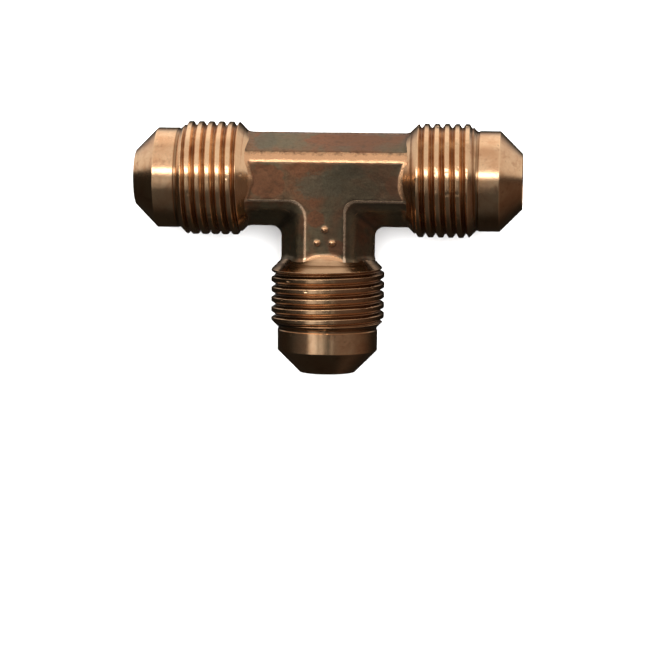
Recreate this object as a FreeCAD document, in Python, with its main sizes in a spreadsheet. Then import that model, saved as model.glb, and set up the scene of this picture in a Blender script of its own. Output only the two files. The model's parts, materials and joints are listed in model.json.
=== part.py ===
"""A 45 degree flare union tee in forged brass, for 3/8 in tube (5/8-18 UNF external threads).

Frame: the origin is where the run's axis and the branch's axis cross. +X runs along the run,
the branch points along -Y, and +Z comes out of the front flat. Millimetres.
"""

import FreeCAD, Part
import os
import Sketcher

SHEET = "Sizes"

DIMENSIONS = [
    # alias, value, what it is
    ("centre_to_end", "27.0", "crossing of the axes to the tip of each flare end"),
    ("bore_diameter", "7.14", "drilled waterway through the run and into the branch (9/32 in)"),
    ("thread_diameter", "15.875", "major diameter of the 5/8-18 UNF external thread"),
    ("thread_pitch", "1.411", "18 threads to the inch"),
    ("thread_length", "8.0", "from the back chamfer to the pilot"),
    ("pilot_step", "0.087", "how far the pilot lies under the thread's root, on the radius"),
    ("pilot_length", "3.3", "plain cylinder between the thread and the flare seat"),
    ("tip_land", "0.315", "flat ring at each tip, between the bore and the 45 degree seat"),
    ("arm_width", "13.1", "across an arm at the parting line"),
    ("arm_depth", "11.5", "from the front flat to the back flat"),
    ("flat_width", "5.5", "width of the front flat and of the back flat"),
    ("shoulder_width", "8.0", "across an arm where the narrow bevel meets the slanted side"),
    ("shoulder_drop", "0.6", "how far that edge lies below the flat"),
    ("land_height", "2.0", "height of the upright land along the parting line"),
    ("corner_left_flat", "2.4", "inside corner radius at the flats, left of the branch"),
    ("corner_right_flat", "1.6", "inside corner radius at the flats, right of the branch"),
    ("corner_land", "1.35", "inside corner radius at the parting line"),
    ("dot_diameter", "0.75", "raised forging dots on the front flat of the branch"),
    ("dot_height", "0.2", "how far the dots stand proud of the flat"),
    ("dot_spread", "1.05", "half the distance between the two lower dots"),
    ("dot_row", "1.85", "from the upper dot to the row of the lower two"),
    ("dot_margin", "1.91", "from the row of the lower two to the back chamfer"),
]

# Unified thread form: 60 degree flanks, the depth and the crest's flat as shares of the pitch.
THREAD_DEPTH = f"({SHEET}.thread_pitch * 0.61343)"
CREST_FLAT = f"({SHEET}.thread_pitch / 8)"
FLANK_SLOPE = 0.57735
CUTTER_RISE = 0.1

ARM_TURNS = {
    # each threaded end is made along its own +Z and turned onto its arm
    "left_run_end": FreeCAD.Rotation(FreeCAD.Vector(0, 1, 0), -90),
    "right_run_end": FreeCAD.Rotation(FreeCAD.Vector(0, 1, 0), 90),
    "branch_end": FreeCAD.Rotation(FreeCAD.Vector(1, 0, 0), 90),
}


def named(alias):
    return f"{SHEET}.{alias}"


THREAD_RADIUS = f"({named('thread_diameter')} / 2)"
ROOT_RADIUS = f"({THREAD_RADIUS} - {THREAD_DEPTH})"
PILOT_RADIUS = f"({ROOT_RADIUS} - {named('pilot_step')})"
BORE_RADIUS = f"({named('bore_diameter')} / 2)"
TIP_RADIUS = f"({BORE_RADIUS} + {named('tip_land')})"
NECK_RADIUS = f"({named('arm_depth')} / 2)"
SEAT_START = f"({named('centre_to_end')} - ({PILOT_RADIUS} - {TIP_RADIUS}))"
PILOT_START = f"({SEAT_START} - {named('pilot_length')})"
LEAD_START = f"({PILOT_START} - ({THREAD_RADIUS} - {PILOT_RADIUS}))"
THREAD_START = f"({PILOT_START} - {named('thread_length')})"
NECK_START = f"({THREAD_START} - ({THREAD_RADIUS} - {NECK_RADIUS}))"


def make_sheet(document):
    """The driving dimensions, one to a row, each with its alias."""
    sheet = document.addObject("Spreadsheet::Sheet", SHEET)
    for row, (alias, number, note) in enumerate(DIMENSIONS, start=1):
        sheet.set(f"A{row}", alias)
        sheet.set(f"B{row}", number)
        sheet.set(f"C{row}", note)
        sheet.setAlias(f"B{row}", alias)
    document.recompute()


def new_body(document, label):
    body = document.addObject("PartDesign::Body", label)
    body.Label = label
    return body


def new_sketch(body, name, plane, level=None):
    """A sketch on one of the body's own origin planes, raised by an expression if one is given."""
    sketch = body.newObject("Sketcher::SketchObject", name)
    support = next(f for f in body.Origin.OriginFeatures if f.Role == plane)
    sketch.AttachmentSupport = [(support, "")]
    sketch.MapMode = "FlatFace"
    if level:
        sketch.setExpression("AttachmentOffset.Base.z", f"{level} * 1 mm")
    return sketch


def number(sketch, expression):
    """What an expression over the sheet gives now."""
    return float(sketch.evalExpression(expression))


def bind(sketch, kind, *where, to):
    """Constrain the sketch by a size and bind it to an expression over the sheet."""
    index = sketch.addConstraint(Sketcher.Constraint(kind, *where, number(sketch, to)))
    sketch.setExpression(f"Constraints[{index}]", f"{to} * 1 mm")


def pin(sketch, kind, line, end, expression):
    """Fix one coordinate of a point, measured from the origin. A leading - puts it on the far side."""
    if expression == "0":
        axis = -2 if kind == "DistanceX" else -1
        sketch.addConstraint(Sketcher.Constraint("PointOnObject", line, end, axis))
    elif expression.startswith("-"):
        bind(sketch, kind, line, end, -1, 1, to=expression[1:])
    else:
        bind(sketch, kind, -1, 1, line, end, to=expression)


def signed_number(sketch, expression):
    if expression.startswith("-"):
        return -number(sketch, expression[1:])
    return number(sketch, expression)


def polygon(sketch, corners):
    """A closed polygon whose corners are pairs of expressions, each bound to the sheet."""
    places = [FreeCAD.Vector(signed_number(sketch, x), signed_number(sketch, y), 0) for x, y in corners]
    lines = []
    for start, end in zip(places, places[1:] + places[:1]):
        lines.append(sketch.addGeometry(Part.LineSegment(start, end), False))
    for before, after in zip(lines[-1:] + lines[:-1], lines):
        sketch.addConstraint(Sketcher.Constraint("Coincident", before, 2, after, 1))
    for line, (x, y) in zip(lines, corners):
        pin(sketch, "DistanceX", line, 1, x)
        pin(sketch, "DistanceY", line, 1, y)


def revolve(body, kind, name, sketch, axis):
    """A Revolution or a Groove of a sketch about one of the sketch's own axes."""
    feature = body.newObject(f"PartDesign::{kind}", name)
    feature.Profile = sketch
    feature.ReferenceAxis = (sketch, [axis])
    feature.Angle = 360
    return feature


def turned_blank(body):
    """Back chamfer, thread cylinder with its lead-in, pilot and 45 degree seat around the bore."""
    sketch = new_sketch(body, f"{body.Label}_profile", "XZ_Plane")
    outline = [
        (BORE_RADIUS, NECK_START),
        (NECK_RADIUS, NECK_START),
        (THREAD_RADIUS, THREAD_START),
        (THREAD_RADIUS, LEAD_START),
        (PILOT_RADIUS, PILOT_START),
        (PILOT_RADIUS, SEAT_START),
        (TIP_RADIUS, named("centre_to_end")),
        (BORE_RADIUS, named("centre_to_end")),
    ]
    polygon(sketch, outline)
    revolve(body, "Revolution", f"{body.Label}_turned", sketch, "V_Axis")


def cut_thread(body):
    """One helical V groove, which runs in from the pilot and runs out over the back chamfer."""
    first = f"({THREAD_START} - {named('thread_pitch')})"
    root_half = f"(({named('thread_pitch')} - {CREST_FLAT}) / 2 - {THREAD_DEPTH} * {FLANK_SLOPE})"
    rise = f"({THREAD_DEPTH} + {CUTTER_RISE})"
    mouth_half = f"({root_half} + {rise} * {FLANK_SLOPE})"
    mouth_radius = f"({ROOT_RADIUS} + {rise})"
    sketch = new_sketch(body, f"{body.Label}_cutter", "XZ_Plane")
    outline = [
        (ROOT_RADIUS, f"({first} - {root_half})"),
        (mouth_radius, f"({first} - {mouth_half})"),
        (mouth_radius, f"({first} + {mouth_half})"),
        (ROOT_RADIUS, f"({first} + {root_half})"),
    ]
    polygon(sketch, outline)
    groove = body.newObject("PartDesign::SubtractiveHelix", f"{body.Label}_thread")
    groove.Profile = sketch
    groove.ReferenceAxis = (sketch, ["V_Axis"])
    groove.Mode = "pitch-height-angle"
    groove.Angle = 0
    groove.setExpression("Pitch", f"{named('thread_pitch')} * 1 mm")
    groove.setExpression("Height", f"({PILOT_START} - {first} + {named('thread_pitch')}) * 1 mm")


def make_threaded_end(document, label):
    body = new_body(document, label)
    turned_blank(body)
    cut_thread(body)
    body.Placement = FreeCAD.Placement(FreeCAD.Vector(0, 0, 0), ARM_TURNS[label])
    return body


def tee_outline(body, name, level, width, left_corner, right_corner):
    """The tee seen from the front at one level: three arms of one width with round inside corners."""
    half = f"({width} / 2)"
    reach = THREAD_START
    sketch = new_sketch(body, name, "XY_Plane", level)
    w = number(sketch, half)
    r = number(sketch, right_corner)
    q = number(sketch, left_corner)
    n = number(sketch, reach)

    def line(x0, y0, x1, y1):
        ends = FreeCAD.Vector(x0, y0, 0), FreeCAD.Vector(x1, y1, 0)
        return sketch.addGeometry(Part.LineSegment(*ends), False)

    def arc(x, y, radius, quarter):
        circle = Part.Circle(FreeCAD.Vector(x, y, 0), FreeCAD.Vector(0, 0, 1), radius)
        quarter_turn = FreeCAD.Units.Quantity("90 deg").getValueAs("rad").Value
        ends = quarter * quarter_turn, (quarter + 1) * quarter_turn
        return sketch.addGeometry(Part.ArcOfCircle(circle, *ends), False)

    top = line(-n, w, n, w)
    right_end = line(n, w, n, -w)
    right_under = line(n, -w, w + r, -w)
    right_arc = arc(w + r, -w - r, r, 1)
    right_side = line(w, -w - r, w, -n)
    branch_end = line(w, -n, -w, -n)
    left_side = line(-w, -n, -w, -w - q)
    left_arc = arc(-w - q, -w - q, q, 0)
    left_under = line(-w - q, -w, -n, -w)
    left_end = line(-n, -w, -n, w)

    for flat in (top, right_under, branch_end, left_under):
        sketch.addConstraint(Sketcher.Constraint("Horizontal", flat))
    for upright in (right_end, right_side, left_side, left_end):
        sketch.addConstraint(Sketcher.Constraint("Vertical", upright))
    sharp = [(top, right_end), (right_end, right_under), (right_side, branch_end)]
    sharp += [(branch_end, left_side), (left_under, left_end), (left_end, top)]
    for before, after in sharp:
        sketch.addConstraint(Sketcher.Constraint("Coincident", before, 2, after, 1))
    smooth = [(right_under, right_arc), (right_arc, right_side)]
    smooth += [(left_side, left_arc), (left_arc, left_under)]
    for before, after in smooth:
        sketch.addConstraint(Sketcher.Constraint("Tangent", before, 2, after, 1))
    pin(sketch, "DistanceY", top, 1, half)
    pin(sketch, "DistanceY", right_under, 1, f"-{half}")
    pin(sketch, "DistanceY", left_under, 2, f"-{half}")
    pin(sketch, "DistanceX", right_side, 2, half)
    pin(sketch, "DistanceX", left_side, 1, f"-{half}")
    pin(sketch, "DistanceX", top, 1, f"-{reach}")
    pin(sketch, "DistanceX", top, 2, reach)
    pin(sketch, "DistanceY", right_side, 2, f"-{reach}")
    bind(sketch, "Radius", right_arc, to=right_corner)
    bind(sketch, "Radius", left_arc, to=left_corner)
    return sketch


def forged_tee(body):
    """Flats, narrow bevels, slanted sides and the upright parting land, as one ruled loft."""
    flat = f"({named('arm_depth')} / 2)"
    shoulder = f"({flat} - {named('shoulder_drop')})"
    land = f"({named('land_height')} / 2)"
    left, right = named("corner_left_flat"), named("corner_right_flat")
    low = named("corner_land")
    levels = [
        ("back_flat", f"-{flat}", named("flat_width"), left, right),
        ("back_shoulder", f"-{shoulder}", named("shoulder_width"), left, right),
        ("back_land", f"-{land}", named("arm_width"), low, low),
        ("front_land", land, named("arm_width"), low, low),
        ("front_shoulder", shoulder, named("shoulder_width"), left, right),
        ("front_flat", flat, named("flat_width"), left, right),
    ]
    sketches = [tee_outline(body, *level) for level in levels]
    loft = body.newObject("PartDesign::AdditiveLoft", "forging")
    loft.Profile = sketches[0]
    loft.Sections = sketches[1:]
    loft.Ruled = True


def bore_and_seat_run(body):
    """Takes out the run's bore and the room that the two run ends fill."""
    sketch = new_sketch(body, "run_profile", "XY_Plane")
    outline = [
        (f"-{THREAD_START}", "0"),
        (f"-{THREAD_START}", THREAD_RADIUS),
        (f"-{NECK_START}", NECK_RADIUS),
        (f"-{NECK_START}", BORE_RADIUS),
        (NECK_START, BORE_RADIUS),
        (NECK_START, NECK_RADIUS),
        (THREAD_START, THREAD_RADIUS),
        (THREAD_START, "0"),
    ]
    polygon(sketch, outline)
    revolve(body, "Groove", "run_bore", sketch, "H_Axis")


def bore_and_seat_branch(body):
    """Takes out the branch's bore, down to the run's axis, and the room that its end fills."""
    sketch = new_sketch(body, "branch_profile", "XY_Plane")
    outline = [
        ("0", "0"),
        (BORE_RADIUS, "0"),
        (BORE_RADIUS, f"-{NECK_START}"),
        (NECK_RADIUS, f"-{NECK_START}"),
        (THREAD_RADIUS, f"-{THREAD_START}"),
        ("0", f"-{THREAD_START}"),
    ]
    polygon(sketch, outline)
    revolve(body, "Groove", "branch_bore", sketch, "V_Axis")


def raise_dots(body):
    """Three small raised dots in a triangle on the front flat of the branch arm."""
    sketch = new_sketch(body, "dots", "XY_Plane", f"({named('arm_depth')} / 2)")
    low_row = f"({NECK_START} - {named('dot_margin')})"
    top_row = f"({low_row} - {named('dot_row')})"
    places = [
        ("0", f"-{top_row}"),
        (f"-{named('dot_spread')}", f"-{low_row}"),
        (named("dot_spread"), f"-{low_row}"),
    ]
    radius = f"({named('dot_diameter')} / 2)"
    for x, y in places:
        centre = FreeCAD.Vector(signed_number(sketch, x), signed_number(sketch, y), 0)
        circle = Part.Circle(centre, FreeCAD.Vector(0, 0, 1), number(sketch, radius))
        dot = sketch.addGeometry(circle, False)
        pin(sketch, "DistanceX", dot, 3, x)
        pin(sketch, "DistanceY", dot, 3, y)
        bind(sketch, "Radius", dot, to=radius)
    pad = body.newObject("PartDesign::Pad", "raised_dots")
    pad.Profile = sketch
    pad.setExpression("Length", f"{named('dot_height')} * 1 mm")


def make_forged_body(document):
    body = new_body(document, "forged_body")
    forged_tee(body)
    bore_and_seat_run(body)
    bore_and_seat_branch(body)
    raise_dots(body)
    return body


def check(document, parts):
    """Stops at any object that failed to recompute, and at any sub-part that isn't one good solid."""
    for item in document.Objects:
        if {"Invalid", "Error"} & set(item.State):
            raise SystemExit(f"{item.Label} failed: {item.State}")
    for part in parts:
        if part.Shape.isNull() or not part.Shape.isValid() or len(part.Shape.Solids) != 1:
            raise SystemExit(f"{part.Label} isn't one valid solid")


def main():
    document = FreeCAD.newDocument("flare_tee")
    make_sheet(document)
    parts = [make_forged_body(document)]
    parts += [make_threaded_end(document, label) for label in ARM_TURNS]
    document.recompute()
    check(document, parts)
    os.makedirs("parts", exist_ok=True)
    for part in parts:
        part.Shape.exportStep(f"parts/{part.Label}.step")
        box = part.Shape.BoundBox
        spans = [round(v, 3) for v in (box.XMin, box.XMax, box.YMin, box.YMax, box.ZMin, box.ZMax)]
        print(part.Label, round(part.Shape.Volume, 2), "mm3", spans)


main()
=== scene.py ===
"""Looks of a forged brass flare tee: one forging whose three ends are turned and threaded.

The forging is an implicit shape, sampled on a grid and turned into a mesh. Each end is turned as a
profile around its axis, with the thread's rows running along the helix. Lengths in the shape code
are millimetres in the frame's own axes: +X along the run, the branch towards -Y, +Z up.
"""

import json
import math

import bpy
import numpy as np
from mathutils import Matrix, Vector


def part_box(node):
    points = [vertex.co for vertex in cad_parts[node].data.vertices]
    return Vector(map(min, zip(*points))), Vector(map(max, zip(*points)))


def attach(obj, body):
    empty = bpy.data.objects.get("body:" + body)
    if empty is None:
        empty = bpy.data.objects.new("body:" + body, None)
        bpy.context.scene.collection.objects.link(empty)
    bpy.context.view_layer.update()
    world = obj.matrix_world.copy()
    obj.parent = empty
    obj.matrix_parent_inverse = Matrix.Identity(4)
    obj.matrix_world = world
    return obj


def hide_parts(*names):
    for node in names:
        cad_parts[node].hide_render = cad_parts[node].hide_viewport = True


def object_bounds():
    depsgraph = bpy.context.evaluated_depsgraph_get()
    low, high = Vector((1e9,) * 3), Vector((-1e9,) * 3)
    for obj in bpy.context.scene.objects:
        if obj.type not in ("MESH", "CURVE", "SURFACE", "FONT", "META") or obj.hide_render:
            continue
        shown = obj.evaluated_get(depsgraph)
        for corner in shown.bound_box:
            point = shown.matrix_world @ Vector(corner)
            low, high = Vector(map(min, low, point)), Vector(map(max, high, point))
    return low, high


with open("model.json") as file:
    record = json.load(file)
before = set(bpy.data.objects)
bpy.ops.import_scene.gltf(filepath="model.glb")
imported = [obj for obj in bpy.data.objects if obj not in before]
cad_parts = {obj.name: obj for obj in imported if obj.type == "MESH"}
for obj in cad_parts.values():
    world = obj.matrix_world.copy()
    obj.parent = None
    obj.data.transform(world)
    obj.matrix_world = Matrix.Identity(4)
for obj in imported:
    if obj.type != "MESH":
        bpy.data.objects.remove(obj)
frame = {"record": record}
CAD_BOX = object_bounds()

MM = 0.001
MOUNTS = {mount["name"]: mount for mount in frame["record"]["mounts"]}


def node_box(name):
    """A node's box in millimetres."""
    low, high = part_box(name)
    return np.array(low) / MM, np.array(high) / MM


def mount_size(name, key):
    return MOUNTS[name]["dims"][key]


# Sizes read from the frame.
BODY_LOW, BODY_HIGH = node_box("forged_body")
END_LOW, END_HIGH = node_box("right_run_end")
BORE_R = mount_size("run_bore", "r_mm")
THREAD_R = mount_size("right_thread", "r_mm")
PILOT_R = mount_size("right_pilot", "r_mm")
PILOT_LENGTH = mount_size("right_pilot", "length_mm")
THREAD_LENGTH = mount_size("right_thread", "length_mm")
SEAT_LENGTH = mount_size("right_flare_seat", "length_mm")
TIP = END_HIGH[0]
NECK_START = END_LOW[0]
SEAT_START = TIP - SEAT_LENGTH
PILOT_START = SEAT_START - PILOT_LENGTH
THREAD_START = PILOT_START - THREAD_LENGTH
HALF_DEPTH = -BODY_LOW[2]
HALF_WIDTH = BODY_HIGH[1]
FLOOR_Z = CAD_BOX[0][2]

# The standard thread, and the softer form that the worn one is drawn with.
INCH = 25.4
TURNS_PER_INCH = 18
PITCH = INCH / TURNS_PER_INCH
THREAD_DEPTH = 0.61343 * PITCH
ROOT_R = THREAD_R - THREAD_DEPTH
FLANK_SLOPE = math.tan(math.radians(60))
CREST_HALF = 0.27
CREST_ROUND = 0.09
ROOT_DEPTH = 0.60
ROOT_ROUND = 0.22

# The arms' cross-section: half widths, the bevel's drop and half the land's height. Then the radii
# of the inside corners, at the parting land and at the flats.
FLAT_HALF = 2.75
SHOULDER_HALF = 4.0
SHOULDER_DROP = 0.6
LAND_HALF = 1.0
CORNER_LAND = 1.35
CORNER_FLAT_LEFT = 2.4
CORNER_FLAT_RIGHT = 1.6

# How far the section's edges and the dots' feet are rounded off.
FLAT_EDGE = 0.18
SHOULDER_EDGE = 0.24
LAND_EDGE = 0.3
DOT_FOOT = 0.06

# How far the skin is drawn in, to leave room for its swells.
SKIN_INSET = 0.02

# The three dots, by their centres on the front flat.
DOT_RADIUS = 0.45
DOT_RISE = 0.20
DOTS = [(0.0, -6.65), (-1.05, -8.5), (1.05, -8.5)]


# ---------------------------------------------------------------- numbers and noise


def smooth_min(a, b, radius):
    """The lower of two fields, with a round inside corner of this radius where they cross."""
    spread = np.clip(2 * radius**2 - (a - b) ** 2, 0, None)
    blended = (a + b + np.sqrt(spread)) / 2 - radius
    return np.where(np.abs(a - b) < radius, blended, np.minimum(a, b))


def smooth_max(a, b, radius):
    return -smooth_min(-a, -b, radius)


def smooth_step(low, high, x):
    t = np.clip((x - low) / (high - low), 0, 1)
    return t * t * (3 - 2 * t)


def lattice_values(cells, seed):
    """A repeatable number from 0 to 1 for each whole-numbered cell."""
    x, y, z = (cells[..., i].astype(np.uint32) for i in range(3))
    n = x * np.uint32(73856093) ^ y * np.uint32(19349663) ^ z * np.uint32(83492791)
    n = (n + np.uint32(seed * 2654435761 % 2**32)) * np.uint32(1274126177)
    n ^= n >> np.uint32(15)
    n *= np.uint32(2246822519)
    n ^= n >> np.uint32(13)
    return n.astype(np.float64) / 2**32


def value_noise(points, size, seed):
    """Smooth noise from -1 to 1 whose bumps are about this size across."""
    scaled = points / size + 1000.0
    base = np.floor(scaled).astype(np.int64)
    part = scaled - base
    part = part * part * (3 - 2 * part)
    total = np.zeros(points.shape[:-1])
    for corner in range(8):
        bits = np.array([corner & 1, corner >> 1 & 1, corner >> 2 & 1])
        weight = np.prod(np.where(bits, part, 1 - part), axis=-1)
        total += weight * lattice_values(base + bits, seed)
    return total * 2 - 1


def layered_noise(points, size, seed, layers=3):
    total = np.zeros(points.shape[:-1])
    for layer in range(layers):
        total += value_noise(points, size / 2**layer, seed + layer) / 2**layer
    return total / 1.5


# ---------------------------------------------------------------- the forging's shape


def plan_width(x, y, z):
    """How far a point lies from the nearer arm's axis, with the inside corners rounded."""
    share = np.clip(np.abs(z) / HALF_DEPTH, 0, 1)
    to_right = smooth_step(-1.5, 1.5, x)
    flat_radius = CORNER_FLAT_LEFT + (CORNER_FLAT_RIGHT - CORNER_FLAT_LEFT) * to_right
    radius = CORNER_LAND + (flat_radius - CORNER_LAND) * share
    run = np.abs(y)
    branch = np.abs(x)
    return np.where(y > 0, run, smooth_min(run, branch, radius))


def section(width, height, flat_edge, shoulder_edge, land_edge):
    """Signed distance to an arm's section: flat, narrow bevel, slanted side, upright land."""
    bevel = np.array([SHOULDER_DROP, SHOULDER_HALF - FLAT_HALF])
    bevel /= np.linalg.norm(bevel)
    shoulder_height = HALF_DEPTH - SHOULDER_DROP
    slant = np.array([shoulder_height - LAND_HALF, HALF_WIDTH - SHOULDER_HALF])
    slant /= np.linalg.norm(slant)
    flat_side = height - HALF_DEPTH
    bevel_side = (width - FLAT_HALF) * bevel[0] + (height - HALF_DEPTH) * bevel[1]
    slant_side = (width - SHOULDER_HALF) * slant[0] + (height - shoulder_height) * slant[1]
    land_side = width - HALF_WIDTH
    joined = smooth_max(flat_side, bevel_side, flat_edge)
    joined = smooth_max(joined, slant_side, shoulder_edge)
    return smooth_max(joined, land_side, land_edge)


def dots(x, y, z):
    """The three raised dots, as low domes on the front flat."""
    dome = (DOT_RADIUS**2 + DOT_RISE**2) / (2 * DOT_RISE)
    sunk = z - HALF_DEPTH - DOT_RISE + dome
    reach = [np.sqrt((x - dot_x) ** 2 + (y - dot_y) ** 2 + sunk**2) for dot_x, dot_y in DOTS]
    return np.min(reach, axis=0) - dome


# Where an arm meets a turned end.
NECK_OVERLAP = 0.25
SHELL_GAP = 0.05
SHELL_R = HALF_DEPTH + 0.7
FILLET = 0.42
ARM_END = THREAD_START + 1


def neck_cone(along, across):
    """Negative under the cone at the back of a turned end."""
    return (across - HALF_DEPTH - (along - NECK_START)) / math.sqrt(2)


def end_room(along, across):
    """Negative where a turned end fills the arm, less a hidden overlap under its back chamfer."""
    return np.maximum(neck_cone(along, across) + NECK_OVERLAP, NECK_START + NECK_OVERLAP - along)


def hidden_shell(along, across):
    """Negative just under the cone, where the arm's fillet runs out of sight."""
    return np.maximum(neck_cone(along, across) + SHELL_GAP, across - SHELL_R)


def forging_field(points, uneven=True):
    """Negative inside the forging, with or without its small unevenness."""
    x, y, z = points[..., 0], points[..., 1], points[..., 2]
    swell, edges = 0, 1
    if uneven:
        swell = 0.035 * layered_noise(points, 2.6, 11) + 0.012 * layered_noise(points, 0.8, 21, 2)
        edges = 1 + 0.45 * value_noise(points, 1.3, 31)
    rounding = (FLAT_EDGE * edges, SHOULDER_EDGE * edges, LAND_EDGE * edges)
    body = section(plan_width(x, y, z), np.abs(z), *rounding)
    body = smooth_min(body + SKIN_INSET + swell, dots(x, y, z) + 0.3 * swell, DOT_FOOT)
    body = np.maximum(body, -ARM_END - y)
    body = np.maximum(body, np.abs(x) - ARM_END)
    run_reach = np.sqrt(y**2 + z**2)
    branch_reach = np.sqrt(x**2 + z**2)
    body = smooth_min(body, hidden_shell(np.abs(x), run_reach), FILLET * edges)
    body = smooth_min(body, hidden_shell(-y, branch_reach), FILLET * edges)
    body = np.maximum(body, -end_room(np.abs(x), run_reach))
    body = np.maximum(body, -end_room(-y, branch_reach))
    run_bore = run_reach - BORE_R
    branch_bore = np.maximum(branch_reach - BORE_R, y)
    return np.maximum(body, -np.minimum(run_bore, branch_bore))


GRID_STEP = 0.14


def sample_grid():
    """The corners of a grid of small cubes that holds the forging, and the field at each."""
    margin = 3 * GRID_STEP
    low = np.array([-THREAD_START, -THREAD_START, -SHELL_R]) - margin
    high = np.array([THREAD_START, HALF_WIDTH, SHELL_R]) + margin
    axes = [np.arange(low[i], high[i], GRID_STEP) for i in range(3)]
    slabs = []
    for x in axes[0]:
        slab = np.stack(np.meshgrid([x], axes[1], axes[2], indexing="ij"), axis=-1)
        slabs.append(forging_field(slab, uneven=False)[0])
    return axes, np.array(slabs)


def surface_net(axes, field):
    """One vertex in each cube that the surface crosses, and a quad across each crossed edge."""
    inside = field < 0
    count = np.array(field.shape) - 1
    offsets = [(i, j, k) for i in (0, 1) for j in (0, 1) for k in (0, 1)]

    def corner(values, offset):
        return values[tuple(slice(o, o + n) for o, n in zip(offset, count))]

    total = sum(corner(inside, o).astype(np.int8) for o in offsets)
    crossed = (total > 0) & (total < 8)
    cells = np.argwhere(crossed)
    number = np.full(crossed.shape, -1, dtype=np.int64)
    number[crossed] = np.arange(len(cells))
    sums = np.zeros((len(cells), 3))
    hits = np.zeros(len(cells))
    for a in offsets:
        for axis in range(3):
            if a[axis]:
                continue
            b = tuple(o + (i == axis) for i, o in enumerate(a))
            start = corner(field, a)[crossed]
            end = corner(field, b)[crossed]
            cut = (start < 0) != (end < 0)
            share = np.where(cut, start / np.where(cut, start - end, 1), 0)
            point = np.tile(np.array(a, float), (len(cells), 1))
            point[:, axis] += share
            sums[cut] += point[cut]
            hits[cut] += 1
    origin = np.array([axis[0] for axis in axes])
    vertices = origin + (cells + sums / hits[:, None]) * GRID_STEP
    quads = []
    for axis in range(3):
        u, v = (axis + 1) % 3, (axis + 2) % 3
        low = np.take(inside, range(0, field.shape[axis] - 1), axis)
        high = np.take(inside, range(1, field.shape[axis]), axis)
        for places, flip in ((np.argwhere(low & ~high), False), (np.argwhere(~low & high), True)):
            ring = []
            for du, dv in ((-1, -1), (0, -1), (0, 0), (-1, 0)):
                cell = places.copy()
                cell[:, u] += du
                cell[:, v] += dv
                ring.append(number[tuple(cell.T)])
            quad = np.stack(ring, axis=1)
            quads.append(quad[:, ::-1] if flip else quad)
    return vertices, np.concatenate(quads)


def slope(points, step=0.02):
    """The field's gradient, by central differences."""
    parts = []
    for axis in range(3):
        shift = np.zeros(3)
        shift[axis] = step
        parts.append((forging_field(points + shift) - forging_field(points - shift)) / (2 * step))
    return np.stack(parts, axis=-1)


def settle(points, rounds):
    """Pulls points onto the surface."""
    for _ in range(rounds):
        gradient = slope(points)
        steep = np.maximum((gradient**2).sum(-1), 0.05)
        move = -forging_field(points)[:, None] * gradient / steep[:, None]
        length = np.linalg.norm(move, axis=1, keepdims=True)
        points = points + move * np.minimum(1, 0.5 * GRID_STEP / np.maximum(length, 1e-9))
    return points


def even_out(points, quads, share=0.5):
    """Moves each point part of the way to the middle of its neighbours."""
    total = np.zeros_like(points)
    count = np.zeros(len(points))
    for i in range(4):
        a, b = quads[:, i], quads[:, (i + 1) % 4]
        np.add.at(total, a, points[b])
        np.add.at(count, a, 1)
        np.add.at(total, b, points[a])
        np.add.at(count, b, 1)
    return points + share * (total / count[:, None] - points)


# ---------------------------------------------------------------- meshes


def make_object(name, vertices, quads, masks):
    """A smooth-shaded mesh object, in metres, with its masks as point attributes."""
    mesh = bpy.data.meshes.new(name)
    mesh.from_pydata((vertices * MM).tolist(), [], quads)
    for mask, values in masks.items():
        layer = mesh.attributes.new(mask, "FLOAT", "POINT")
        layer.data.foreach_set("value", np.asarray(values, dtype=np.float32))
    mesh.polygons.foreach_set("use_smooth", [True] * len(mesh.polygons))
    mesh.validate()
    mesh.update()
    thing = bpy.data.objects.new(name, mesh)
    bpy.context.collection.objects.link(thing)
    return thing


def dents(points, count, seed, low, high, radius, depth):
    """How deep small random dents reach at each point."""
    chance = np.random.default_rng(seed)
    centres = chance.uniform(low, high, (count, 3))
    sizes = chance.uniform(0.4, 1.0, count) * radius
    total = np.zeros(len(points))
    for centre, size in zip(centres, sizes):
        near = np.linalg.norm(points - centre, axis=1) / size
        total = np.maximum(total, depth * size / radius * np.clip(1 - near**2, 0, None) ** 1.5)
    return total


# Patches of the scale seen from the front, as ellipses: centre x and y, half widths in x and y.
RED_PATCHES = [
    (-8.2, 0.0, 3.4, 2.7), (-3.2, 2.0, 1.4, 1.0), (-1.2, -5.2, 1.5, 1.3),
    (1.7, -9.2, 1.5, 1.3), (3.0, 5.6, 6.5, 1.0), (9.6, -0.4, 1.5, 1.5),
]
GREY_PATCHES = [(-8.6, 5.4, 2.1, 1.4), (-0.6, -0.6, 4.6, 2.3), (3.4, 1.4, 3.2, 1.3)]


def patches(points, ellipses):
    """1 in the middle of each front patch, falling to 0 at its rim."""
    x, y, z = points.T
    reach = [1 - ((x - cx) / rx) ** 2 - ((y - cy) / ry) ** 2 for cx, cy, rx, ry in ellipses]
    return np.clip(np.max(reach, axis=0), 0, 1) * (z > 0)


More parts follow.
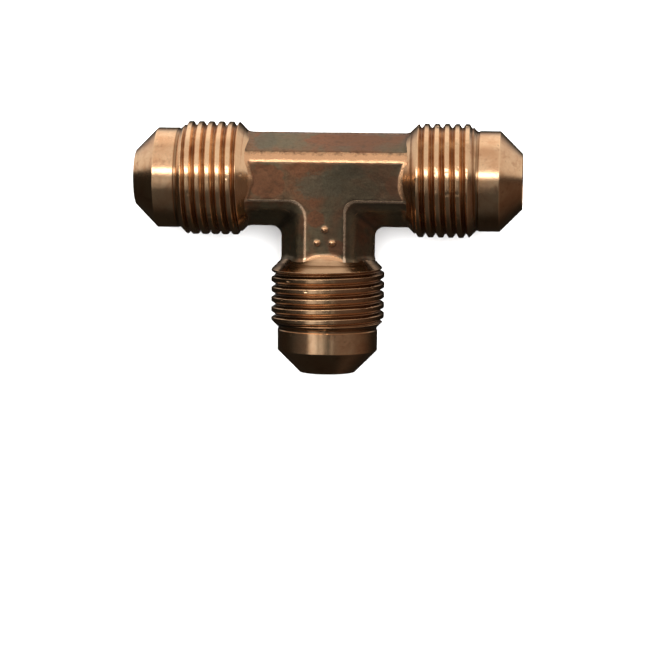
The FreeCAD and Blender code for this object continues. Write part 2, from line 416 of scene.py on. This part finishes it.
def forging_masks(points):
    """Where edges are rubbed bright or get a painted highlight, where painted shade darkens the inside
    corners and the +X side, where the flash was trimmed and where patches lie.
    """
    x, y, z = points.T
    width, height = plan_width(x, y, z), np.abs(z)
    flat_edge = np.hypot(width - FLAT_HALF, height - HALF_DEPTH)
    shoulder_edge = np.hypot(width - SHOULDER_HALF, height - HALF_DEPTH + SHOULDER_DROP)
    land_edge = np.hypot(width - HALF_WIDTH, height - LAND_HALF)
    bevel = smooth_step(-0.05, 0.12, width - FLAT_HALF) * smooth_step(0.15, -0.1, width - SHOULDER_HALF)
    bevel *= height > HALF_DEPTH - SHOULDER_DROP - 0.2
    top_side = y > FLAT_HALF - 0.6
    # painted highlight: the bevel on the run's upper (+Y) side is bare bright brass all over, the other
    # bevels only a quarter
    top_bevel_highlight = bevel * (1.05 - 0.45 * smooth_step(2.8, 4.1, width))
    top_wear_and_highlight = np.maximum(smooth_step(0.3, 0.05, flat_edge), top_bevel_highlight)
    rest_worn = np.maximum(0.95 * smooth_step(0.30, 0.08, flat_edge), 0.25 * bevel)
    wear_and_highlight = np.maximum.reduce([
        np.where(top_side, top_wear_and_highlight, rest_worn),
        0.55 * smooth_step(0.25, 0.05, shoulder_edge),
        0.6 * smooth_step(0.4, 0.05, land_edge),
    ])
    sharp_inside = np.where(y > 0, np.abs(y), np.minimum(np.abs(x), np.abs(y)))
    # painted shade: the inside corners between the arms, away from the flats, are darkened
    valley = smooth_step(0.0, 0.45, sharp_inside - width) * smooth_step(0.1, 0.6, HALF_DEPTH - height)
    # painted shade: the front flat darkens towards +X, and the top slant half as much
    front_shade = smooth_step(0.7, 0.2, HALF_DEPTH - z) * smooth_step(-4.5, 4.0, x)
    top_shade = 0.5 * (y > SHOULDER_HALF) * smooth_step(-5, 5, x)
    # painted highlight share for the pale edge lines, strongest on the branch's +X edge
    edge_highlight_share = np.where(y < -FLAT_HALF - 1, 0.5 + 0.5 * smooth_step(-1, 1, x), 0.8)
    trimmed = smooth_step(0.35, 0.1, HALF_WIDTH - width) * smooth_step(1.25, 0.85, height)
    return {
        "wear": wear_and_highlight,
        "valley": valley,
        "trimmed": trimmed,
        "dots": smooth_step(0.0, 0.05, z - HALF_DEPTH),
        # pale: a painted highlight along the flat edges off the run's upper side
        "pale": smooth_step(0.34, 0.10, flat_edge) * ~top_side * edge_highlight_share,
        "red": patches(points, RED_PATCHES),
        "grey": patches(points, GREY_PATCHES),
        "shade": np.maximum(front_shade, top_shade),
    }


def make_forging():
    points, quads = surface_net(*sample_grid())
    points = settle(points, 3)
    for _ in range(3):
        points = settle(even_out(points, quads), 2)
    masks = forging_masks(points)
    return make_object("forged_tee", points, quads.tolist(), masks)


# How finely the ends are divided. The crest gaps are the rows' distances from a crest's middle.
ROUND_STEPS = 256
ROW_GAP = 0.13
CORNER_STEPS = 6
CREST_GAPS = (0.0, 0.07, 0.13, 0.17, 0.21, 0.25, 0.29, 0.34, 0.41, 0.48, 0.54, 0.59, 0.63, 0.67)


def rounded(corners):
    """A line of (along, radius) points through corners, each rounded off by its own radius."""
    line = [corners[0][:2]]
    for before, here, after in zip(corners, corners[1:], corners[2:]):
        point = np.array(here[:2])
        back = np.array(before[:2]) - point
        ahead = np.array(after[:2]) - point
        back /= np.linalg.norm(back)
        ahead /= np.linalg.norm(ahead)
        half = math.acos(np.clip(back @ ahead, -1, 1)) / 2
        reach = here[2] / math.tan(half)
        for t in np.linspace(0, 1, CORNER_STEPS):
            start, end = point + back * reach, point + ahead * reach
            line.append(tuple((1 - t) ** 2 * start + 2 * t * (1 - t) * point + t**2 * end))
    line.append(corners[-1][:2])
    dense = []
    for start, end in zip(line, line[1:]):
        pieces = max(1, math.ceil(math.dist(start, end) / ROW_GAP))
        for i in range(pieces):
            dense.append(tuple(np.array(start) + (np.array(end) - start) * i / pieces))
    return dense + [line[-1]]


def rings(line):
    """Plain rings for a line of (along, radius) points, as arrays of along, radius and groove."""
    along = np.repeat([[p[0]] for p in line], ROUND_STEPS, axis=1)
    radius = np.repeat([[p[1]] for p in line], ROUND_STEPS, axis=1)
    return along, radius, np.zeros_like(along)


def thread_rows(low, high):
    """Rows that run along the thread's helix, held between two places on the axis."""
    gaps = sorted({round(s * g, 4) for g in CREST_GAPS for s in (-1, 1)} | {round(PITCH / 2, 4)})
    turn = np.arange(ROUND_STEPS) / ROUND_STEPS
    first = math.floor((low - THREAD_START) / PITCH) - 2
    last = math.ceil((high - THREAD_START) / PITCH) + 2
    along, groove = [], []
    for lap in range(first, last + 1):
        for gap in gaps:
            along.append(THREAD_START + (lap + 0.5 + turn) * PITCH + gap)
            groove.append(np.full(ROUND_STEPS, abs(gap)))
    along, groove = np.array(along), np.array(groove)
    slant = (groove - CREST_HALF) * FLANK_SLOPE
    depth = smooth_min(smooth_max(slant, 0 * slant, CREST_ROUND), 0 * slant + ROOT_DEPTH, ROOT_ROUND)
    along = np.clip(along, low, high)
    neck = HALF_DEPTH + along - NECK_START
    lead = PILOT_R + PILOT_START - along
    shell = np.minimum(np.minimum(neck, lead), THREAD_R)
    radius = smooth_min(THREAD_R - depth, shell, CREST_ROUND)
    radius = np.where((along <= low) | (along >= high), shell, radius)
    return along, radius, np.clip(depth / ROOT_DEPTH, 0, 1), len(gaps)


RELIEF_LENGTH = 0.45
RELIEF_DEPTH = 0.09
HIDDEN_LIP = 0.7
MOUTH_CHAMFER = 0.12


def end_rows():
    """All rows of a turned end, from its hidden back round the outside and down the bore."""
    low = NECK_START + (ROOT_R - HALF_DEPTH) - 0.2
    neck_line = [
        (NECK_START + NECK_OVERLAP, BORE_R),
        (NECK_START + NECK_OVERLAP, HALF_DEPTH - HIDDEN_LIP, 0.05),
        (NECK_START, HALF_DEPTH - 0.2, 0.03),
        (NECK_START, HALF_DEPTH, 0.02),
        (low, HALF_DEPTH + low - NECK_START),
    ]
    nose_line = [
        (PILOT_START, PILOT_R),
        (PILOT_START + 0.1, PILOT_R - RELIEF_DEPTH, 0.04),
        (PILOT_START + RELIEF_LENGTH - 0.1, PILOT_R - RELIEF_DEPTH, 0.05),
        (PILOT_START + RELIEF_LENGTH, PILOT_R, 0.03),
        (SEAT_START, PILOT_R, 0.12),
        (TIP, PILOT_R - SEAT_LENGTH, 0.07),
        (TIP, BORE_R + MOUTH_CHAMFER, 0.03),
        (TIP - MOUTH_CHAMFER, BORE_R, 0.03),
        (NECK_START + NECK_OVERLAP, BORE_R),
    ]
    neck = rings(rounded(neck_line))
    thread = thread_rows(low, PILOT_START)
    nose = rings(rounded(nose_line))
    parts = (neck, thread[:3], nose)
    first_helical = len(neck[0])
    last_helical = first_helical + len(thread[0])
    along, radius, groove = (np.concatenate([part[i] for part in parts]) for i in range(3))
    return along, radius, groove, (first_helical, last_helical, thread[3])


def end_quads(rows, helical):
    """Quads between neighbouring rows. Past the last column a helical row meets the next lap's."""
    first, last, lap = helical
    lower = np.arange(rows)
    carried = np.where((lower >= first) & (lower < last), np.minimum(lower + lap, last - 1), lower)
    upper = (lower + 1) % rows
    quads = []
    for column in range(ROUND_STEPS):
        beyond = (column + 1) % ROUND_STEPS
        across_lower = carried if beyond == 0 else lower
        across_upper = carried[upper] if beyond == 0 else upper
        quads.append(np.stack([
            lower * ROUND_STEPS + column,
            across_lower * ROUND_STEPS + beyond,
            across_upper * ROUND_STEPS + beyond,
            upper * ROUND_STEPS + column,
        ], axis=1))
    return np.concatenate(quads)


def weld(points, quads, masks):
    """Joins points that lie in one place and drops the faces that close up or
    repeat one already taken."""
    keys = np.round(points / 1e-4).astype(np.int64)
    _, keep, places = np.unique(keys, axis=0, return_index=True, return_inverse=True)
    places = places.ravel()
    faces, taken = [], set()
    for quad in places[quads].tolist():
        ring = [p for i, p in enumerate(quad) if p != quad[i - 1]]
        corners = frozenset(ring)
        if len(corners) == len(ring) >= 3 and corners not in taken:
            taken.add(corners)
            faces.append(ring)
    return points[keep], faces, {name: values[keep] for name, values in masks.items()}


def make_end(name, matrix, seed, shaded):
    """One turned and threaded end, on the arm that the matrix turns +Z to.

    The last flag puts painted shade on the end: its neck cone browns away from the body, its thread is
    evened to one brown on the +X side, and its roots darken on the -X side.
    """
    along, radius, groove, helical = end_rows()
    angle = 2 * math.pi * np.arange(ROUND_STEPS) / ROUND_STEPS
    flat = np.stack([np.cos(angle), np.sin(angle)])

    def place(r):
        return np.stack([r * flat[0], r * flat[1], along], axis=-1).reshape(-1, 3)

    points = place(radius)
    spots = points + seed * 50
    outside = (radius.ravel() > BORE_R + 0.3) & (along.ravel() > NECK_START + 0.3)
    crest = (1 - groove.ravel()) * ((along.ravel() > NECK_START + 0.5) & (along.ravel() < PILOT_START))
    chips = smooth_step(0.55, 0.95, value_noise(spots, 0.45, 5)) * 0.06 * crest
    wobble = 0.012 * value_noise(spots, 3.0, 6)
    low, high = (-8, -8, NECK_START), (8, 8, TIP)
    knocks = dents(points, 60, seed, low, high, radius=0.35, depth=0.045)
    worn_radius = radius.ravel() - outside * (chips + np.abs(wobble) + knocks)
    points = place(worn_radius.reshape(radius.shape))
    edge = np.maximum(
        smooth_step(0.22, 0.02, np.abs(along - SEAT_START)) * (radius > PILOT_R - 0.3),
        smooth_step(0.3, 0.05, TIP - along),
    ).ravel()
    relief = smooth_step(0.35, 0.1, np.abs(along - PILOT_START - RELIEF_LENGTH / 2))
    relief *= radius > BORE_R + 1
    # painted shade: the neck cone browns away from the body, fully when the flag is set and a little
    # otherwise
    neck = smooth_step(0.1, 0.9, along - NECK_START) * (along < THREAD_START + PITCH)
    relief = np.maximum(relief, (1.0 if shaded else 0.15) * neck)
    threaded = smooth_step(THREAD_START - 0.4, THREAD_START + 0.6, along) * (along < PILOT_START)
    # painted shade across the branch thread: negative on the -X side, positive on the +X side
    sideways = threaded * radius * flat[0] / THREAD_R * shaded
    masks = {
        "threaded": threaded.ravel(),
        "sideways": sideways.ravel(),
        "groove": groove.ravel(),
        "wear": np.clip(edge + crest * smooth_step(0.3, 0.0, groove.ravel()), 0, 1),
        "relief": relief.ravel(),
        "inside": (radius.ravel() < BORE_R + 0.01).astype(float),
    }
    quads = end_quads(len(along), helical)
    points, faces, masks = weld(points, quads, masks)
    turned = points @ np.array(matrix.to_3x3()).T
    return make_object(name, turned, faces, masks)


TURNS = {
    "left_run_end": Matrix.Rotation(-math.pi / 2, 4, "Y"),
    "right_run_end": Matrix.Rotation(math.pi / 2, 4, "Y"),
    "branch_end": Matrix.Rotation(math.pi / 2, 4, "X"),
}


# ---------------------------------------------------------------- materials


# A Mix node's sockets when it mixes colours.
MIX_SHARE, MIX_A, MIX_B, MIX_RESULT = 0, 6, 7, 2


class Nodes:
    """A material's node tree, with one short call for each kind of node."""

    def __init__(self, name):
        self.material = bpy.data.materials.new(name)
        self.material.use_nodes = True
        self.tree = self.material.node_tree
        self.shader = self.tree.nodes["Principled BSDF"]
        self.place = self.tree.nodes.new("ShaderNodeTexCoord").outputs["Object"]

    def link(self, source, socket):
        if isinstance(source, bpy.types.NodeSocket):
            self.tree.links.new(source, socket)
        else:
            socket.default_value = source

    def mask(self, name):
        node = self.tree.nodes.new("ShaderNodeAttribute")
        node.attribute_name = name
        return node.outputs["Fac"]

    def math(self, operation, a, b=0.0, c=0.0):
        node = self.tree.nodes.new("ShaderNodeMath")
        node.operation = operation
        for value, socket in zip((a, b, c), node.inputs):
            self.link(value, socket)
        return node.outputs[0]

    def scaled(self, scale, shift=(0, 0, 0)):
        """The object's coordinates in millimetres, stretched along the axes."""
        node = self.tree.nodes.new("ShaderNodeMapping")
        self.tree.links.new(self.place, node.inputs["Vector"])
        node.inputs["Scale"].default_value = [s / MM for s in scale]
        node.inputs["Location"].default_value = shift
        return node.outputs[0]

    def noise(self, scale=(1, 1, 1), detail=3.0, rough=0.55, shift=(0, 0, 0), warp=0.0):
        """Cloudy noise, from 0 to 1, whose scale is in bumps per millimetre along each axis."""
        node = self.tree.nodes.new("ShaderNodeTexNoise")
        self.tree.links.new(self.scaled(scale, shift), node.inputs["Vector"])
        node.inputs["Scale"].default_value = 1
        node.inputs["Detail"].default_value = detail
        node.inputs["Roughness"].default_value = rough
        node.inputs["Distortion"].default_value = warp
        return node.outputs["Fac"]

    def step(self, value, low, high):
        """0 below low, 1 above high, smooth between; low may be the larger one."""
        node = self.tree.nodes.new("ShaderNodeMapRange")
        node.interpolation_type = "SMOOTHSTEP"
        self.link(value, node.inputs["Value"])
        node.inputs["From Min"].default_value = low
        node.inputs["From Max"].default_value = high
        return node.outputs[0]

    def ragged(self, mask, noise, amount):
        """A mask whose rim is broken up by noise."""
        return self.math("MULTIPLY_ADD", self.math("SUBTRACT", noise, 0.5), amount, mask)

    def mix(self, share, a, b):
        """A colour between a and b."""
        node = self.tree.nodes.new("ShaderNodeMix")
        node.data_type = "RGBA"
        self.link(share, node.inputs[MIX_SHARE])
        for value, socket in ((a, node.inputs[MIX_A]), (b, node.inputs[MIX_B])):
            self.link(value if isinstance(value, bpy.types.NodeSocket) else (*value, 1), socket)
        return node.outputs[MIX_RESULT]

    def bump(self, height, strength, distance, under=None):
        node = self.tree.nodes.new("ShaderNodeBump")
        node.inputs["Strength"].default_value = strength
        node.inputs["Distance"].default_value = distance * MM
        self.tree.links.new(height, node.inputs["Height"])
        if under:
            self.tree.links.new(under, node.inputs["Normal"])
        return node.outputs["Normal"]

    def finish(self, colour, roughness, normal, metallic):
        self.link(colour, self.shader.inputs["Base Color"])
        self.link(roughness, self.shader.inputs["Roughness"])
        self.tree.links.new(normal, self.shader.inputs["Normal"])
        self.link(metallic, self.shader.inputs["Metallic"])
        return self.material


# Bare metal, stains and forging scale, as linear colours. The pale brass paints an edge highlight, the
# even brown paints shade on one side of the branch thread, and the dark scale serves as painted shade
# too.
BRIGHT_BRASS = (0.86, 0.56, 0.33)
TAN_BRASS = (0.72, 0.40, 0.215)
PAINTED_HIGHLIGHT_BRASS = (0.74, 0.59, 0.44)
COPPER_STAIN = (0.40, 0.165, 0.075)
BROWN_STAIN = (0.20, 0.105, 0.05)
ROOT_STAIN = (0.27, 0.125, 0.055)
SIDE_SHADE_BROWN = (0.36, 0.19, 0.10)
OLIVE_SCALE = (0.165, 0.128, 0.075)
RED_SCALE = (0.235, 0.100, 0.050)
GREEN_SCALE = (0.130, 0.114, 0.074)
DARK_SCALE_AND_SHADE = (0.05, 0.036, 0.024)


def forged_brass():
    """Olive-brown forging scale with red and green patches, rubbed bright along its edges, with painted
    highlights on the upper bevel and the other flat edges and painted shade in the inside corners and
    towards +X.
    """
    n = Nodes("forged_brass")
    broad = n.noise((0.16, 0.16, 0.16), 3, 0.6, (3, 1, 7), 0.6)
    cloud = n.noise((0.5, 0.7, 0.7), 4, 0.62, (11, 4, 2), 0.5)
    mottle = n.noise((1.1, 1.5, 1.5), 3, 0.6, (31, 14, 22), 0.4)
    speckle = n.noise((3.2, 3.2, 3.2), 3, 0.6, (2, 9, 4))
    fine = n.noise((9, 9, 9), 2, 0.5, (5, 3, 8))
    red = n.step(n.ragged(n.mask("red"), cloud, 1.6), 0.20, 0.42)
    grey = n.step(n.ragged(n.mask("grey"), mottle, 1.6), 0.15, 0.65)
    base = n.mix(n.step(broad, 0.38, 0.68), OLIVE_SCALE, RED_SCALE)
    base = n.mix(n.math("MULTIPLY", grey, 0.75), base, GREEN_SCALE)
    base = n.mix(n.math("MULTIPLY", red, 0.9), base, RED_SCALE)
    # painted shade: darker towards +X on the front flat and the top slant, with a slight even darkening
    # everywhere
    base = n.mix(n.math("MULTIPLY_ADD", n.mask("shade"), 0.58, 0.06), base, DARK_SCALE_AND_SHADE)
    base = n.mix(n.math("MULTIPLY", n.step(mottle, 0.5, 0.3), 0.3), base, DARK_SCALE_AND_SHADE)
    base = n.mix(n.math("MULTIPLY", n.step(speckle, 0.55, 0.35), 0.2), base, DARK_SCALE_AND_SHADE)
    # painted shade in the inside corners
    base = n.mix(n.math("MULTIPLY", n.mask("valley"), 0.75), base, DARK_SCALE_AND_SHADE)
    uneven = n.math("ADD", n.math("MULTIPLY", mottle, 0.7), n.math("MULTIPLY", speckle, 0.3))
    # the wear mask also carries the painted highlight on the upper bevel
    wear_and_highlight = n.step(n.ragged(n.mask("wear"), uneven, 0.9), 0.40, 0.85)
    cut = n.step(n.ragged(n.mask("trimmed"), fine, 1.0), 0.45, 0.8)
    bare_and_highlight = n.math("MAXIMUM", wear_and_highlight, n.math("MULTIPLY", cut, 0.7))
    bare_and_highlight = n.math("MAXIMUM", bare_and_highlight, n.mask("dots"))
    colour = n.mix(bare_and_highlight, base, TAN_BRASS)
    # painted highlight: a pale line along the worn flat edges off the run's upper side
    paled = n.math("MULTIPLY", n.mask("pale"), n.math("MULTIPLY_ADD", bare_and_highlight, 0.75, 0.05))
    colour = n.mix(paled, colour, PAINTED_HIGHLIGHT_BRASS)
    roughness = n.math("MULTIPLY_ADD", speckle, 0.16, 0.24)
    roughness = n.math("SUBTRACT", roughness, n.math("MULTIPLY", bare_and_highlight, 0.08))
    grain = n.bump(speckle, 0.4, 0.045)
    rubbed = n.math("MULTIPLY", fine, n.math("MULTIPLY_ADD", bare_and_highlight, 2.0, 1.0))
    grain = n.bump(rubbed, 0.35, 0.014, grain)
    return n.finish(colour, roughness, grain, n.math("MULTIPLY_ADD", bare_and_highlight, 0.045, 0.955))


def turned_brass(name, axis, dull, tarnish):
    """Lathe-turned brass: rings round the axis, tarnished in the thread's roots and in the groove by the
    pilot, with painted shade down the neck cone and across the sides of the branch thread.

    Dull is how far the whole end is browned, and tarnish how far the thread is.
    """
    n = Nodes(name)

    def by_axis(along, across):
        return tuple(along if i == axis else across for i in range(3))

    tool_marks = n.noise(by_axis(7, 0.05), 3, 0.7, (4, 4, 4))
    fine_marks = n.noise(by_axis(28, 0.12), 2, 0.6, (9, 2, 6))
    cloud = n.noise((0.33, 0.33, 0.33), 4, 0.6, (7, 5, 3), 0.4)
    blotch = n.step(n.noise((0.55, 0.55, 0.55), 4, 0.65, (17, 8, 3), 0.6), 0.52, 0.72)
    specks = n.step(n.noise((4, 4, 4), 2, 0.6, (1, 7, 5)), 0.63, 0.75)
    groove = n.mask("groove")
    base = n.mix(n.step(cloud, 0.35, 0.7), BRIGHT_BRASS, TAN_BRASS)
    base = n.mix(n.math("MULTIPLY", blotch, 0.45), base, COPPER_STAIN)
    base = n.mix(n.math("MULTIPLY", specks, 0.6), base, BROWN_STAIN)
    base = n.mix(n.math("MULTIPLY_ADD", n.mask("threaded"), tarnish, dull), base, BROWN_STAIN)
    rooted = n.step(n.ragged(groove, cloud, 0.7), 0.50, 1.05)
    # painted shade: the roots on the -X side of the branch thread go darker still
    root = n.mix(n.step(n.mask("sideways"), -0.25, -0.6), ROOT_STAIN, DARK_SCALE_AND_SHADE)
    base = n.mix(n.math("MULTIPLY", rooted, 0.95), base, root)
    # stain in the groove by the pilot, and painted shade down the neck cone
    base = n.mix(n.math("MULTIPLY", n.mask("relief"), 0.75), base, BROWN_STAIN)
    base = n.mix(n.math("MULTIPLY", n.mask("inside"), 0.3), base, BROWN_STAIN)
    colour = n.mix(n.math("MULTIPLY", n.mask("wear"), 0.5 - 0.4 * tarnish), base, BRIGHT_BRASS)
    # painted shade: on the +X side of the branch thread, crests and roots are evened to one brown
    browned = n.math("MULTIPLY", n.step(n.mask("sideways"), 0.08, 0.35), 0.7)
    colour = n.mix(browned, colour, SIDE_SHADE_BROWN)
    roughness = n.math("MULTIPLY_ADD", cloud, 0.12, 0.13)
    roughness = n.math("ADD", roughness, n.math("MULTIPLY", rooted, 0.12))
    turned = n.bump(tool_marks, 0.35, 0.02)
    turned = n.bump(fine_marks, 0.3, 0.008, turned)
    turned = n.bump(n.noise((2.5, 2.5, 2.5), 3, 0.6), 0.2, 0.02, turned)
    return n.finish(colour, roughness, turned, 1)


def pale_floor():
    n = Nodes("pale_floor")
    shade = n.noise((0.02, 0.02, 0.02), 2)
    n.link(n.mix(shade, (0.86, 0.86, 0.86), (0.9, 0.9, 0.9)), n.shader.inputs["Base Color"])
    n.shader.inputs["Roughness"].default_value = 0.8
    return n.material


# ---------------------------------------------------------------- stage, light and camera


FLOOR_HALF = 1.5


def make_floor():
    corners = [(-1, -1), (1, -1), (1, 1), (-1, 1)]
    mesh = bpy.data.meshes.new("floor")
    mesh.from_pydata([(x * FLOOR_HALF, y * FLOOR_HALF, FLOOR_Z) for x, y in corners], [], [(0, 1, 2, 3)])
    floor = bpy.data.objects.new("floor", mesh)
    bpy.context.collection.objects.link(floor)
    mesh.materials.append(pale_floor())
    floor.visible_glossy = False


def softbox(name, place, size, power):
    """A rectangular area light that faces the object and isn't seen in its reflections."""
    light = bpy.data.lights.new(name, "AREA")
    light.shape = "RECTANGLE"
    light.size, light.size_y = size
    light.energy = power
    thing = bpy.data.objects.new(name, light)
    thing.location = place
    thing.rotation_euler = (-Vector(place)).to_track_quat("-Z", "Y").to_euler()
    thing.visible_glossy = False
    thing.visible_camera = False
    bpy.context.collection.objects.link(thing)


# Each glow lights the directions where all its ramps are up. A ramp is a direction and the cosines
# of the angles to it where the ramp starts and ends. After the ramps come strength and colour.
UP, BACK, RIGHT = (0, 0, 1), (0, 1, 0), (1, 0, 0)
WHITE, SOFT_WHITE, WARM_WHITE = (1.0, 1.0, 1.0), (1.0, 0.97, 0.94), (1.0, 0.97, 0.95)
AMBER, COPPER = (1.0, 0.90, 0.75), (1.0, 0.66, 0.50)
LONG_LAMP = [(BACK, 0.205, 0.245), (BACK, 0.40, 0.365), (UP, 0.1, 0.5)]
WINDOW = [(BACK, -0.42, -0.30), (BACK, 0.06, 0.0), (UP, 0.1, 0.3)]
SKY_GLOWS = [
    # the whole room, the ceiling, the wall behind and its brighter foot
    ([(UP, -2, -1)], 0.017, AMBER),
    ([(UP, -0.1, 0.7)], 0.06, WHITE),
    ([(BACK, 0.08, 0.20), (UP, -0.98, -0.55)], 0.82, SOFT_WHITE),
    ([((0, 0.91, -0.41), 0.8, 0.97)], 0.40, SOFT_WHITE),
    # the long lamp mirrored along the run, and a soft one overhead
    (LONG_LAMP + [(RIGHT, 0.12, 0.04), (RIGHT, -0.85, -0.65)], 4.5, WHITE),
    ([((-0.12, -0.03, 0.99), 0.972, 0.994)], 0.20, SOFT_WHITE),
    # three upright panes mirrored in the branch
    (WINDOW + [(RIGHT, -0.66, -0.57), (RIGHT, -0.27, -0.34)], 0.75, WHITE),
    (WINDOW + [(RIGHT, -0.21, -0.18), (RIGHT, -0.12, -0.15)], 0.7, WHITE),
    (WINDOW + [(RIGHT, 0.20, 0.23), (RIGHT, 0.29, 0.26)], 0.4, WARM_WHITE),
    # a warm glow from the right
    ([(RIGHT, 0.15, 0.5), (BACK, 0.15, -0.1), (UP, -0.75, 0.1)], 0.09, COPPER),
]


def studio_world():
    """Glows in set directions for the object, and a plain pale backdrop for the camera."""
    world = bpy.data.worlds.new("studio")
    bpy.context.scene.world = world
    world.use_nodes = True
    tree = world.node_tree
    tree.nodes.clear()
    new, link = tree.nodes.new, tree.links.new
    towards = new("ShaderNodeTexCoord").outputs["Generated"]
    total = None
    for ramps, strength, colour in SKY_GLOWS:
        power = None
        for direction, low, high in ramps:
            dot = new("ShaderNodeVectorMath")
            dot.operation = "DOT_PRODUCT"
            link(towards, dot.inputs[0])
            dot.inputs[1].default_value = Vector(direction).normalized()
            ramp = new("ShaderNodeMapRange")
            ramp.interpolation_type = "SMOOTHSTEP"
            link(dot.outputs["Value"], ramp.inputs["Value"])
            ramp.inputs["From Min"].default_value = low
            ramp.inputs["From Max"].default_value = high
            product = new("ShaderNodeMath")
            product.operation = "MULTIPLY"
            link(ramp.outputs[0], product.inputs[0])
            product.inputs[1].default_value = strength
            if power:
                link(power, product.inputs[1])
            power = product.outputs[0]
        glow = new("ShaderNodeBackground")
        glow.inputs["Color"].default_value = (*colour, 1)
        link(power, glow.inputs["Strength"])
        if total:
            both = new("ShaderNodeAddShader")
            link(total, both.inputs[0])
            link(glow.outputs[0], both.inputs[1])
            total = both.outputs[0]
        else:
            total = glow.outputs[0]
    backdrop = new("ShaderNodeBackground")
    backdrop.inputs["Color"].default_value = (1, 1, 1, 1)
    backdrop.inputs["Strength"].default_value = 1
    seen = new("ShaderNodeLightPath")
    choose = new("ShaderNodeMixShader")
    link(seen.outputs["Is Camera Ray"], choose.inputs[0])
    link(total, choose.inputs[1])
    link(backdrop.outputs[0], choose.inputs[2])
    link(choose.outputs[0], new("ShaderNodeOutputWorld").inputs["Surface"])


def make_lights():
    softbox("room_fill", place=(0.2, 0.3, 1.2), size=(1.4, 1.4), power=55)


# The camera's place and what it looks at, its roll in radians, and pixels per millimetre there.
VIEW_FROM = Vector((33, 19.5, 370)) * MM
VIEW_AT = Vector((-0.354, -20.47, 0)) * MM
VIEW_ROLL = 0.0086
VIEW_SCALE = 7.1216
FRAME_PIXELS = 650
SENSOR = 36
NEAR_CLIP = 0.01


def make_camera():
    """Looks down on the front flat from above the right run end, as far as the parallax says."""
    camera = bpy.data.cameras.new("camera")
    camera.sensor_width = SENSOR
    camera.lens = VIEW_SCALE * (VIEW_FROM - VIEW_AT).length / MM / FRAME_PIXELS * SENSOR
    thing = bpy.data.objects.new("camera", camera)
    back = (VIEW_FROM - VIEW_AT).normalized()
    right = Vector((0, 1, 0)).cross(back).normalized()
    up = back.cross(right)
    across = right * math.cos(VIEW_ROLL) + up * math.sin(VIEW_ROLL)
    above = up * math.cos(VIEW_ROLL) - right * math.sin(VIEW_ROLL)
    pose = Matrix((across, above, back)).transposed().to_4x4()
    pose.translation = VIEW_FROM
    thing.matrix_world = pose
    camera.clip_start = NEAR_CLIP
    bpy.context.collection.objects.link(thing)
    bpy.context.scene.camera = thing


# ---------------------------------------------------------------- the object


def dress(piece, material, node):
    piece.data.materials.append(material)
    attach(piece, "root")
    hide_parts(node)


def main():
    bpy.context.scene.view_settings.view_transform = "Standard"
    make_camera()
    make_lights()
    studio_world()
    make_floor()
    brass = {
        "left_run_end": turned_brass("turned_brass_left", axis=0, dull=0.0, tarnish=0.0),
        "right_run_end": turned_brass("turned_brass_right", axis=0, dull=0.13, tarnish=0.10),
        "branch_end": turned_brass("turned_brass_branch", axis=1, dull=0.0, tarnish=0.40),
    }
    dress(make_forging(), forged_brass(), "forged_body")
    for seed, (node, matrix) in enumerate(TURNS.items(), start=1):
        piece = make_end(node.replace("_end", "_flare"), matrix, seed, shaded=node == "branch_end")
        dress(piece, brass[node], node)


main()
